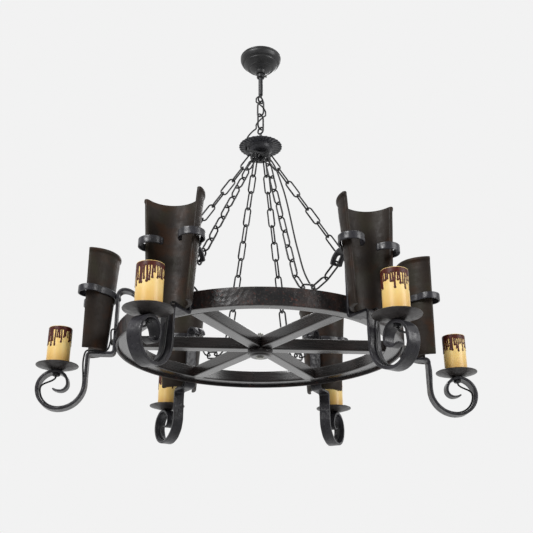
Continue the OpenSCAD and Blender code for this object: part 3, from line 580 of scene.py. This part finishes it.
stained = wood("black stained softwood")
wood_low, felloe_top, spoke_top, eased = 4.5, 26.5, 24.5, 1.6
felloe_in, felloe_out, half_joint, cuts = 219, 245.9, 0.06, 90
section = box_profile((felloe_in, wood_low), (felloe_out, felloe_top), (8, 6),
                      eased)
segments = []
for k in range(6):
    a = np.radians(np.linspace(60 * k + 30 + half_joint,
                               60 * k + 90 - half_joint, cuts))[:, None]
    segments.append(grid(np.stack([
        section[:, 0] * np.cos(a), section[:, 0] * np.sin(a),
        np.broadcast_to(section[:, 1] - wheel_drop, (cuts, len(section)))],
        -1)))
piece("felloe_lengths", segments, stained, "fixture", "black_wood", "felloe")
half_w, spoke_end, tip_gap, mitre = 10.9, 218.4, 0.3, 1.732
section = box_profile((-half_w, wood_low), (half_w, spoke_top), (7, 6), eased)
pointed = tip_gap + mitre * np.abs(section[:, 0])
spokes = []
for n in range(1, 7):
    rows = [at_wheel(np.stack([np.maximum(r, pointed), section[:, 0],
                               section[:, 1]], 1), n)
            for r in (tip_gap, *np.linspace(12, spoke_end, 60))]
    spokes.append(grid(np.array(rows)))
piece("spokes_shaped", spokes, stained, "fixture", "black_wood", "spokes")
piece("hub_turned", [grid(turned(rounded(
    [[4.1, -613.5], [15, -613.5], [17.4, -612.4], [18.6, -610.4],
     [21.2, -609], [22, -606.4], [22, -602.2], [21, -601.5], [4.1, -601.5]],
    0.8), 96), closed=True)], stained, "fixture", "black_wood", "hub_boss")


# --- Bolts ------------------------------------------------------------------
# Hexagon bolts hold the arms to the wheel and the spokes at the hub, and a
# screw holds the canopy's collar. The CAD's own solids stay, zinc plated: a
# cloudy grey metal with a satin gloss.
plated, tree, shader, place, _ = material("zinc plating", 0.34, Metallic=1.0)
cloud = noise(tree, place, 4, 4)
tree.links.new(ramp(tree, cloud, (0.3, "#8b8b86"), (0.7, "#b4b4ae")),
               shader.inputs["Base Color"])
tree.links.new(levels(tree, cloud, 0.3, 0.7, 0.28, 0.46),
               shader.inputs["Roughness"])
bump(tree, shader, (noise(tree, place, 0.5, 2), 0.03))
for node in ("wheel_bolts", "canopy_set_screw"):
    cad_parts[node].data.materials[0] = plated


# --- Arms -------------------------------------------------------------------
# Flat iron, 22 x 5 mm, forged in one length: a slotted hook for the chain, an
# upright bolted to the tyre, a bracket for the tile, and a scroll that
# carries the lamp and is drawn out thinner at its inner end.
def bent(start, path, step=1.6):
    """Places, headings and lengths run along a line of (length, 0)
    straights and (radius, turn) bends, where a positive turn goes left. On
    a bend, the steps are the radius times the change of the heading's sine
    and cosine."""
    x, y, heading = start
    out = [(x, y, heading, 0.0)]
    gone = 0.0
    for size, turn in path:
        length = size if turn == 0 else size * math.radians(abs(turn))
        count = max(1, math.ceil(length / step))
        for k in range(1, count + 1):
            if turn == 0:
                a = math.radians(heading)
                at = (x + size * k / count * math.cos(a),
                      y + size * k / count * math.sin(a), heading)
            else:
                s = math.copysign(1, turn)
                a, b = (math.radians(heading),
                        math.radians(heading + turn * k / count))
                at = (x + s * size * (math.sin(b) - math.sin(a)),
                      y - s * size * (math.cos(b) - math.cos(a)),
                      math.degrees(b))
            out.append((*at, gone + length * k / count))
        x, y, heading = out[-1][:3]
        gone += length
    return np.array(out)


def strip(line, thick, wide, edge=0.9, counts=(2, 9)):
    """Sections of a flat bar along a bent line, as (ahead, across the bar's
    width, up) points: a rounded box, turned square to the line's heading.
    thick and wide give its size at each place."""
    x, y, heading, _ = line.T
    heading = np.radians(heading)
    rows = []
    for k, (t, w) in enumerate(zip(thick / 2, wide / 2)):
        outline = box_profile((-t, -w), (t, w), counts, min(edge, 0.7 * t))
        rows.append(np.stack([
            x[k] - outline[:, 0] * math.sin(heading[k]), outline[:, 1],
            y[k] + outline[:, 0] * math.cos(heading[k])], 1))
    return np.array(rows)


def closed_ends(rows):
    """Draws both end sections in by a fifth, to round a bar's ends."""
    out = rows.copy()
    for k in (0, -1):
        middle = rows[k].mean(0)
        out[k] = middle + (rows[k] - middle) * 0.8
    return out


def slot_cutter(line, at, size, wide):
    """A cutter for a slot with round ends, across the bar, whose middle is
    at millimetres along the line: two half circles drawn apart."""
    x, y, h = (np.interp(at, line[:, 3], line[:, k]) for k in range(3))
    h = math.radians(h)
    reach = 9
    a = np.linspace(0, 2 * np.pi, 32, endpoint=False)
    ahead = wide / 2 * np.cos(a) + (size - wide) / 2 * np.sign(np.cos(a))
    across = wide / 2 * np.sin(a)
    rows = [np.stack([x + ahead * math.cos(h) - d * math.sin(h), across,
                      y + ahead * math.sin(h) + d * math.cos(h)], 1)
            for d in (-reach, reach)]
    return np.array(rows)


arm_line = bent((216.386, 90.729, 75), [
    (26, -75), (11, -90), (100, 0), (6, 90), (32.5, 0), (6, -90), (47, 0),
    (44, 90), (35, 90), (29, 90), (21, 90), (12, 90), (22, 35)])
bar_t, bar_w, drawn_l = 5, 22, 60
left = arm_line[-1, 3] - arm_line[:, 3]
drawn = np.clip(1 - left / drawn_l, 0, 1) ** 1.3
thick = bar_t - 2.2 * drawn
wide = bar_w - 9 * drawn
arm_paint = iron("charcoal paint on forged iron", "#1c1b1e", "#2c2b30", 0.33,
                 8, 0.5)
forged = 0.018
for n in range(1, 7):
    rows = closed_ends(strip(arm_line, thick, wide))
    middle = rows.mean(1, keepdims=True)
    rows = middle + (rows - middle) * (
        1 - forged * (1 + ripple(rows, 17, n)))[..., None]
    bar = piece(f"arm_bar_{n}", [grid(at_wheel(rows, n))], arm_paint,
                "fixture", "arm_iron", f"arm_{n}")
    slot = slot_cutter(arm_line, at=11.5, size=15, wide=8)
    cutter = piece(f"slot_{n}", [grid(at_wheel(slot, n))], arm_paint,
                   "fixture", "arm_iron")
    cut = bar.modifiers.new("slot", "BOOLEAN")
    cut.operation, cut.object, cut.solver = "DIFFERENCE", cutter, "EXACT"
    cleared = bpy.data.meshes.new_from_object(
        bar.evaluated_get(bpy.context.evaluated_depsgraph_get()))
    bar.modifiers.remove(cut)
    bar.data = cleared
    bpy.data.objects.remove(cutter)


# --- Clay tiles -------------------------------------------------------------
# Half of a tapered clay pipe, thrown and split, 177 mm high and 6.5 mm thick,
# with a bead round its top, dark brown under a dull glaze. It stands on the
# arm's bracket with its round back to the wheel.
clay, tree, shader, place, _ = material("dark brown glazed clay", 0.5,
                                        Specular_IOR_Level=0.2)
tint = noise(tree, place, 46, 4, lean=(1, 1, 1.6))
colour = ramp(tree, tint, (0.34, "#201915"), (0.5, "#28201a"),
              (0.64, "#2b271d"))
colour = blend(tree, levels(tree, noise(tree, place, 30, 5), 0.52, 0.72, 0.0,
                            0.8), colour, "#37200f")
grit = noise(tree, place, 1.1, 3)
colour = blend(tree, levels(tree, grit, 0.62, 0.74, 0.0, 0.35), colour,
               "#463c31")
tree.links.new(colour, shader.inputs["Base Color"])
tree.links.new(levels(tree, noise(tree, place, 8, 3), 0.3, 0.7, 0.42, 0.6),
               shader.inputs["Roughness"])
bump(tree, shader, (grit, 0.12),
     (noise(tree, place, 5, 2, lean=(12, 12, 1)), 0.3))

tile_at, tile_low, tile_h, bead_from = 303, -4.5, 177, 170
foot_r, top_r, foot_bore_r, top_bore_r = 37.5, 49.5, 31, 43.5
heights = np.array([0, 0.5, 1.4, *np.linspace(6, 166, 33), 169, 170.4, 171.5,
                    172.8, 174, 175.2, 176.2, 176.8, tile_h])
outer = foot_r + (top_r - foot_r) * np.minimum(heights, bead_from) / bead_from
outer += 1.9 * np.clip((heights - 169) / 3.5, 0, 1) * (heights < 176)
outer[:2] -= [1.0, 0.3]
outer[-4:] = [51.4, 51.2, 50.7, 49.8]
inner = foot_bore_r + (top_bore_r - foot_bore_r) * heights / tile_h
inner[0] += 0.6
inner[-1] += 1.4
profile = np.concatenate([np.stack([outer, heights], 1),
                          np.stack([inner, heights], 1)[::-1]])
core = (outer + inner) / 2
core = np.concatenate([core, core[::-1]])
# The split edges are rounded over the last few degrees of the half circle.
near_edge = np.array([0, 0.5, 1.6, 3.2, 5.2])
rounded_over, thrown = near_edge[-1], 0.25
for n in range(1, 7):
    rows = []
    for a in np.radians(np.concatenate([
            90 + near_edge, np.linspace(98, 262, 60), 270 - near_edge[::-1]])):
        edge = np.degrees(min(a - np.pi / 2, 1.5 * np.pi - a))
        full = math.sqrt(max(0.0, 1 - (1 - min(1, edge / rounded_over)) ** 2))
        r = core + (profile[:, 0] - core) * (0.25 + 0.75 * full)
        r = r + thrown * ripple(np.stack([r * math.cos(a), r * math.sin(a),
                                          profile[:, 1]], 1), 40, n) - thrown
        rows.append(np.stack([tile_at + r * math.cos(a), r * math.sin(a),
                              profile[:, 1] + tile_low], 1))
    piece(f"tile_half_{n}", [grid(at_wheel(rows, n))], clay, "fixture",
          "clay", f"tile_{n}")


# --- Tile straps ------------------------------------------------------------
# Flat iron, 12 x 2.5 mm, bent round the tile's back and curled over its free
# edges, with a small knob forged at each end, and riveted to the upright.
strap_t, strap_w, strap_z, hug_r = 2.5, 12, 97, 46.75
half = bent((tile_at - hug_r, 0, 90), [(hug_r, -55), (12, 30), (19, -250)],
            1.5)
other = half[:0:-1] * [1, -1, -1, 1] + [0, 0, 180, 0]
strap_line = np.concatenate([other, half])
strap_line[:len(other), 3] = -strap_line[:len(other), 3]
end = half[-1, 3] - np.abs(strap_line[:, 3])
knob = np.exp(-((end - 2.6) / 2.0) ** 2)
thick = strap_t + 2.6 * knob - 1.3 * (end < 0.8)
wide = strap_w - 3.0 * np.exp(-end / 4)
for n in range(1, 7):
    rows = strip(strap_line, thick, wide, 0.7, (2, 5))
    rows = closed_ends(rows)[..., [0, 2, 1]] + [0, 0, strap_z]
    piece(f"strap_{n}", [grid(at_wheel(rows, n))], arm_paint, "fixture",
          "arm_iron", f"tile_strap_{n}")
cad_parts["strap_rivets"].data.materials[0] = arm_paint


# --- Drip pans --------------------------------------------------------------
# Sheet iron dished to 72 mm across, with a turned-over rim and hammer marks.
# The lampholder's threaded tube clamps it on top of the scroll.
lamp_at, pan_z, pan_t, pan_hole_r = 347, -37.5, 1.4, 5.1
flat_r, dish_w, dish_deep = 6, 29.2, 8
slope = np.linspace(0, 1, 22)
dish_r = flat_r + dish_w * slope
dish_z = dish_deep * slope ** 1.25
under = np.concatenate([[[pan_hole_r, pan_z]],
                        np.stack([dish_r, dish_z + pan_z], 1)])
lip = [[35.7, -29.4], [36, -28.7], [35.8, -28.1], [35.1, -27.8],
       [34.4, -28.0]]
over = np.concatenate([np.stack([dish_r, dish_z + (pan_z + pan_t)],
                                1)[-2::-1],
                       [[pan_hole_r, pan_z + pan_t]]])
pan_paint = iron("charcoal paint on dished iron", "#211e1d", "#393534", 0.38,
                 7, 0.3)
for n in range(1, 7):
    dish = turned(np.concatenate([under, lip, over]), 96, (lamp_at, 0))
    dish[..., 2] += 0.22 * ripple(dish, 16, 40 + n)
    piece(f"pan_{n}", [grid(at_wheel(dish, n), closed=True)], pan_paint,
          "fixture", "arm_iron", f"drip_pan_{n}")


# --- Candle sleeves ---------------------------------------------------------
# Cream plastic tubes, 40 mm across and 69 mm high. Dark red-brown hot wax was
# run round the rim, and some three dozen thin drips of it set down the side.
# Moulded and slightly see-through: a soft, waxy sheen, warmer at the foot.
cream, tree, shader, place, _ = material("cream candle plastic", 0.36)
shader.inputs["Subsurface Weight"].default_value = 0.12
shader.inputs["Subsurface Radius"].default_value = (0.004, 0.0025, 0.0012)
tone = noise(tree, place, 24, 3)
height = add(tree, "SeparateXYZ", {0: place}).outputs[2]
colour = blend(tree, levels(tree, height, -638, -600, 1.0, 0.0),
               ramp(tree, tone, (0.3, "#e3c074"), (0.7, "#e9ce89")),
               "#dbaa58")
tree.links.new(colour, shader.inputs["Base Color"])
tree.links.new(levels(tree, noise(tree, place, 6, 3), 0.3, 0.7, 0.3, 0.45),
               shader.inputs["Roughness"])
bump(tree, shader, (noise(tree, place, 3, 2), 0.06))
# Poured and set: round-backed runs with a dull gloss.
drip, tree, shader, place, _ = material("red-brown drip wax", 0.4)
shader.inputs["Specular IOR Level"].default_value = 0.3
tree.links.new(ramp(tree, noise(tree, place, 5, 3), (0.3, "#3a130b"),
                    (0.7, "#501c10")), shader.inputs["Base Color"])
tree.links.new(levels(tree, noise(tree, place, 3, 2), 0.3, 0.7, 0.34, 0.52),
               shader.inputs["Roughness"])
bump(tree, shader, (noise(tree, place, 1.5, 2), 0.05))
columns, drips, bead_l, wax_r, wax_t = 288, 34, 1.8, 19.6, 0.55
sleeve_r, bore_r, sleeve_top, sleeve_h = 19.55, 18.2, 37.03, 69
around = np.linspace(0, 2 * np.pi, columns, endpoint=False)
circle = np.stack([np.cos(around), np.sin(around), 0 * around], 1)
down = np.concatenate([np.linspace(0, 34, 64), np.linspace(36, sleeve_h, 12)])
reach = down[:, None]
inside_z = np.array([36.9, *np.linspace(36, -31.9, 8)])[:, None]
inside = np.stack([bore_r * np.cos(around) + 0 * inside_z,
                   bore_r * np.sin(around) + 0 * inside_z,
                   inside_z + 0 * around], -1)
for n in range(1, 7):
    chance = np.random.default_rng(70 + n)
    middles = ((np.arange(drips) + chance.uniform(-0.22, 0.22, drips))
               * 2 * np.pi / drips)
    ends = (chance.uniform(18, 33, drips)
            + 4 * (chance.random(drips) < 0.15))
    widths = chance.uniform(1.2, 1.65, drips)
    # A drip's section is half an ellipse. It winds a little on its way down
    # and swells to a bead before its round end.
    wax = np.zeros((len(down), columns))
    for middle, end, width in zip(middles, ends, widths):
        middle = middle + 0.02 * np.sin(down / 5 + middle * 9)[:, None]
        off = wax_r * np.abs((around - middle + np.pi) % (2 * np.pi) - np.pi)
        bead = 1 + 0.35 * np.exp(-((reach - end + bead_l) / bead_l) ** 2)
        past = np.clip((reach - end + width) / width, 0, 1)
        ridge = 1 - (off / (width * bead)) ** 2 - past ** 2
        wax = np.maximum(wax, np.clip(ridge, 0, 1) ** 0.5 * bead)
    brim = 7.0 + 3.0 * ripple(20 * circle, 9, n)
    wax = np.maximum(wax, np.clip((brim - reach) / 1.2 + 1, 0, 1))
    r = sleeve_r + wax_t * wax - 0.25 * (reach < 0.6)
    outside = np.stack([r * np.cos(around), r * np.sin(around),
                        sleeve_top - reach + 0 * wax], -1)
    rows = np.concatenate([inside[::-1], outside]).transpose(1, 0, 2)
    rows[..., 0] += lamp_at
    # The bore stays cream. The lip's top half millimetre also stays cream
    # under
    # the wax: a painted highlight where the rounded rim catches the light.
    dark = (wax[:-1] > 0.12) & (reach[:-1] > 0.5)
    dark = np.concatenate([np.zeros((len(inside_z), columns), bool), dark,
                           np.zeros((1, columns), bool)]).T
    piece(f"candle_{n}", [grid(at_wheel(rows, n), closed=True)],
          [cream, drip], f"sleeve_{n}", "wax", f"candle_sleeve_{n}",
          marks=dark.astype(np.int32).ravel(), smooth=60)


# --- Lampholders ------------------------------------------------------------
# Black moulded holders inside the sleeves, with an even, dark gloss. Each has
# a rolled brass shell for the bulb, cloudy with tarnish, and a contact button.
moulded, tree, shader, place, _ = material("black moulded phenolic", 0.32)
swirl = noise(tree, place, 9, 3)
tree.links.new(ramp(tree, swirl, (0.3, "#131211"), (0.7, "#1f1d1b")),
               shader.inputs["Base Color"])
tree.links.new(levels(tree, swirl, 0.3, 0.7, 0.26, 0.42),
               shader.inputs["Roughness"])
bump(tree, shader, (noise(tree, place, 0.9, 2), 0.04))
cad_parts["lampholders"].data.materials[0] = moulded
brass, tree, shader, place, _ = material("dull rolled brass", 0.36,
                                         Metallic=1.0)
tarnish = noise(tree, place, 5, 4)
tree.links.new(ramp(tree, tarnish, (0.3, "#8a6a35"), (0.7, "#b8954f")),
               shader.inputs["Base Color"])
tree.links.new(levels(tree, tarnish, 0.3, 0.7, 0.3, 0.5),
               shader.inputs["Roughness"])
bump(tree, shader, (noise(tree, place, 0.7, 2), 0.03))
shell_out_r, shell_in_r, thread_deep, thread_pitch = 13.46, 12.9, 0.35, 3.6
around = np.linspace(0, 2 * np.pi, 72, endpoint=False)[:, None]
z = np.linspace(6, 33, 70)[None, :]
inner_r = shell_in_r + thread_deep * np.sin(2 * np.pi * z / thread_pitch
                                            + around)
shell_r = np.concatenate([shell_out_r + 0 * inner_r, inner_r[:, ::-1]], 1)
shell = np.stack([shell_r * np.cos(around) + lamp_at,
                  shell_r * np.sin(around),
                  np.concatenate([z, z[:, ::-1]], 1) + 0 * around], -1)
button = turned(rounded([[0.01, 5.2], [4, 5.2], [4, 6.6], [2.6, 7.8],
                         [0.01, 8.1]], 0.5), 32, (lamp_at, 0))
for n in range(1, 7):
    piece(f"holder_shell_{n}", [grid(at_wheel(shell, n), closed=True),
                                grid(at_wheel(button, n), closed=True)],
          brass, "fixture", "holder_plastic")


# --- Stage ------------------------------------------------------------------
# A pale floor well below the light, soft lamps round it, and a pale world
# that the painted iron mirrors, brighter behind the light than in front.
half_floor, floor_z = 9, -1.7
floor_mesh = bpy.data.meshes.new("floor")
floor_mesh.from_pydata([(x * half_floor, y * half_floor, floor_z) for x, y in
                        ((-1, -1), (1, -1), (1, 1), (-1, 1))], [],
                       [(0, 1, 2, 3)])
floor = bpy.data.objects.new("floor", floor_mesh)
floor.visible_glossy = False
bpy.context.collection.objects.link(floor)
pale, tree, shader, place, _ = material("pale studio floor", 0.8)
tree.links.new(ramp(tree, noise(tree, place, 900, 2), (0.3, "#e9e9e9"),
                    (0.7, "#eeeeee")), shader.inputs["Base Color"])
floor_mesh.materials.append(pale)
bpy.context.scene.view_settings.view_transform = "Standard"
world = bpy.data.worlds.new("studio")
bpy.context.scene.world = world
world.use_nodes = True
tree = world.node_tree
seen = add(tree, "LightPath")
toward = add(tree, "SeparateXYZ", {0: add(tree, "TexCoord").outputs[0]})
mirrored = levels(tree, toward.outputs[1], -0.3, 0.5, 0.3, 1.0)
backdrop = tree.nodes["Background"]
backdrop.inputs["Color"].default_value = linear("#f2f2f2")
indirect = add(tree, "Mix", {0: seen.outputs["Is Glossy Ray"], 2: 0.6,
               3: mirrored})
direct = add(tree, "Math", {0: seen.outputs["Is Camera Ray"],
             1: seen.outputs["Is Transmission Ray"]}, operation="MAXIMUM")
strength = add(tree, "Mix", {0: direct.outputs[0],
               2: indirect.outputs[0], 3: 1.0})
tree.links.new(strength.outputs[0], backdrop.inputs["Strength"])
middle = Vector((0, 0, -0.45))
for name, where, size, power in (
        ("key", (-1.5, -1.7, 0.9), 1.0, 52),
        ("fill", (1.9, -1.3, 0.1), 1.2, 26),
        ("back", (0.5, 1.9, 1.0), 1.4, 22)):
    lamp = bpy.data.objects.new(name, bpy.data.lights.new(name, "AREA"))
    bpy.context.collection.objects.link(lamp)
    lamp.data.size, lamp.data.energy = size, power
    lamp.location = where
    lamp.rotation_mode = "QUATERNION"
    lamp.rotation_quaternion = (middle - Vector(where)).to_track_quat(
        "-Z", "Y")
